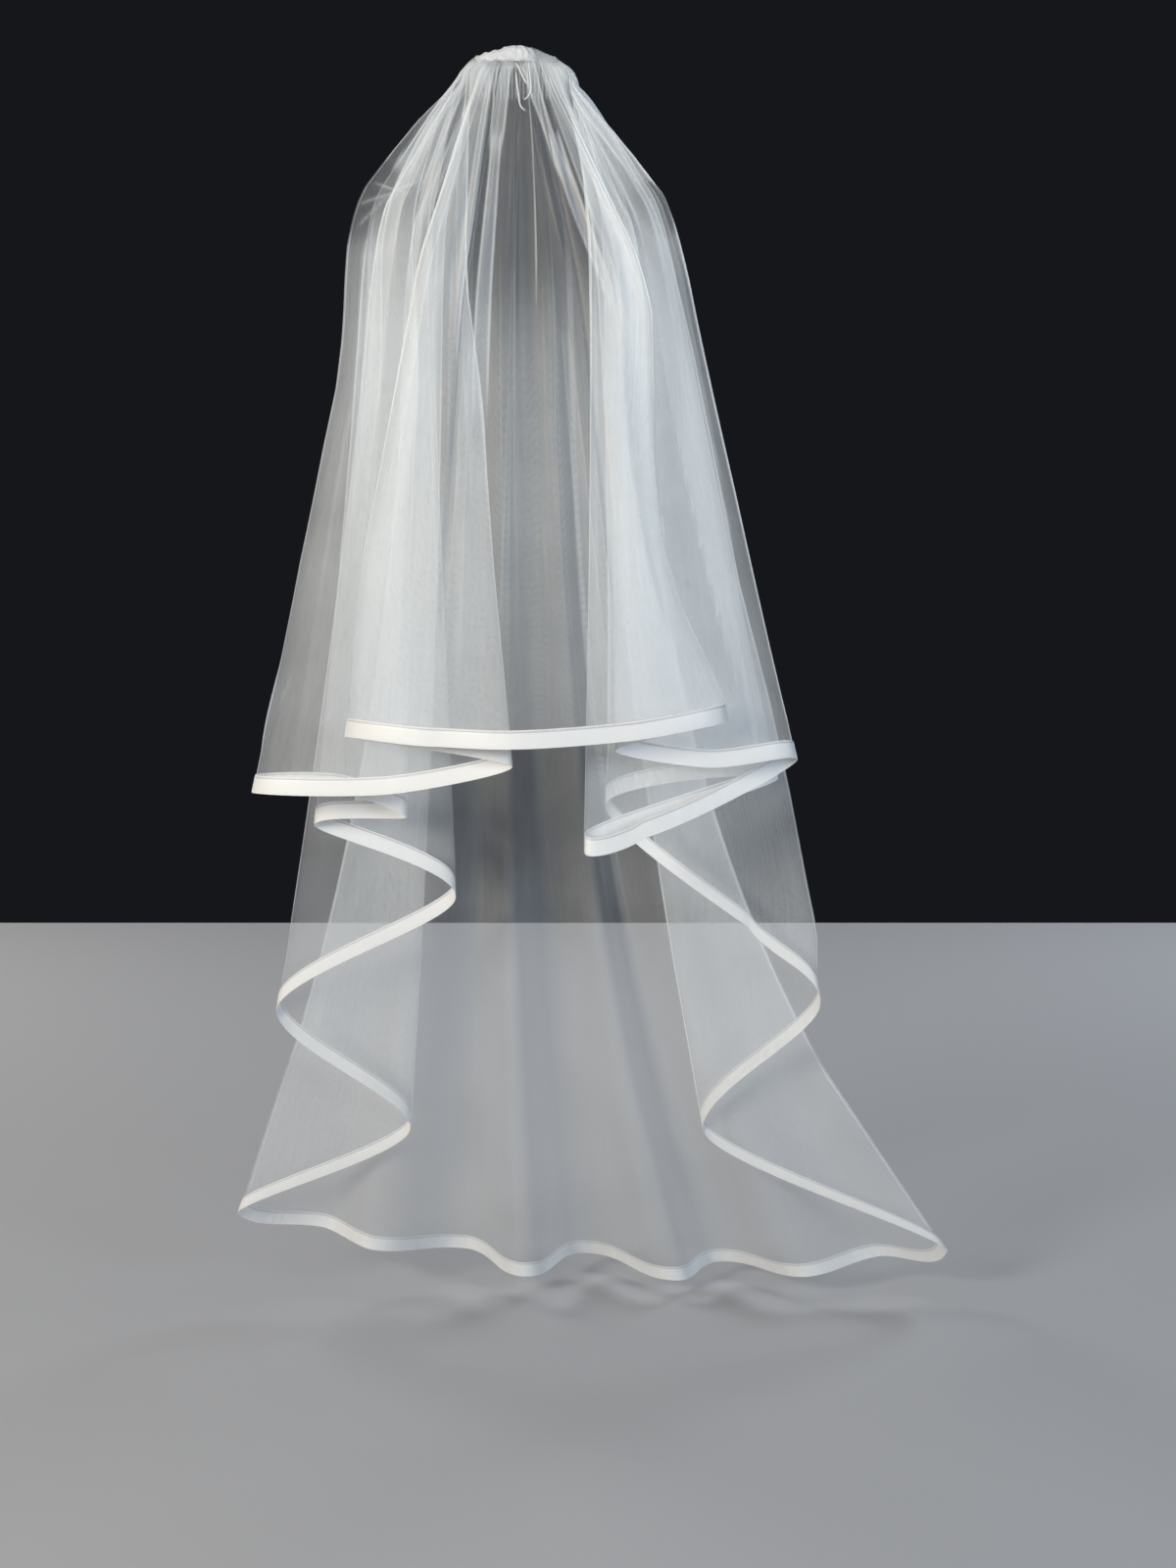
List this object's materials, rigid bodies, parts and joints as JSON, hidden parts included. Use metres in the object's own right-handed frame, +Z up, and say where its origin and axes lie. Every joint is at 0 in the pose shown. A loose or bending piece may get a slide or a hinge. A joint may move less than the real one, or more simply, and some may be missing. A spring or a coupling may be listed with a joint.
{
  "type": "bridal veil on a hair comb",
  "caption": "Sheer drop veil gathered on a hair comb, short in front and long behind, side edges falling in zigzag folds, bound with satin ribbon.",
  "frame": {"origin": "middle of the comb's spine, where the wearer's hair holds the veil", "axes": "+Z up, along the hanging veil; -Y is the front, where the short fall hangs; +X is to the right as seen from the front"},
  "size_m": [0.9605, 0.6618, 1.6181],
  "materials": {
    "tulle": "fine sheer net, soft white",
    "ribbon": "white satin ribbon, soft sheen",
    "gather_band": "ruched white net, stitched down",
    "comb": "clear moulded plastic"
  },
  "bodies": {
    "root": {"comb": "comb", "gather_band": "gather_band", "front_crown": "tulle", "left_crown": "tulle", "back_crown": "tulle", "right_crown": "tulle", "front_fall": "tulle", "left_cascade": "tulle", "back_fall": "tulle", "right_cascade": "tulle", "front_ribbon": "ribbon", "left_ribbon": "ribbon", "back_ribbon": "ribbon", "right_ribbon": "ribbon"}
  },
  "joints": []
}
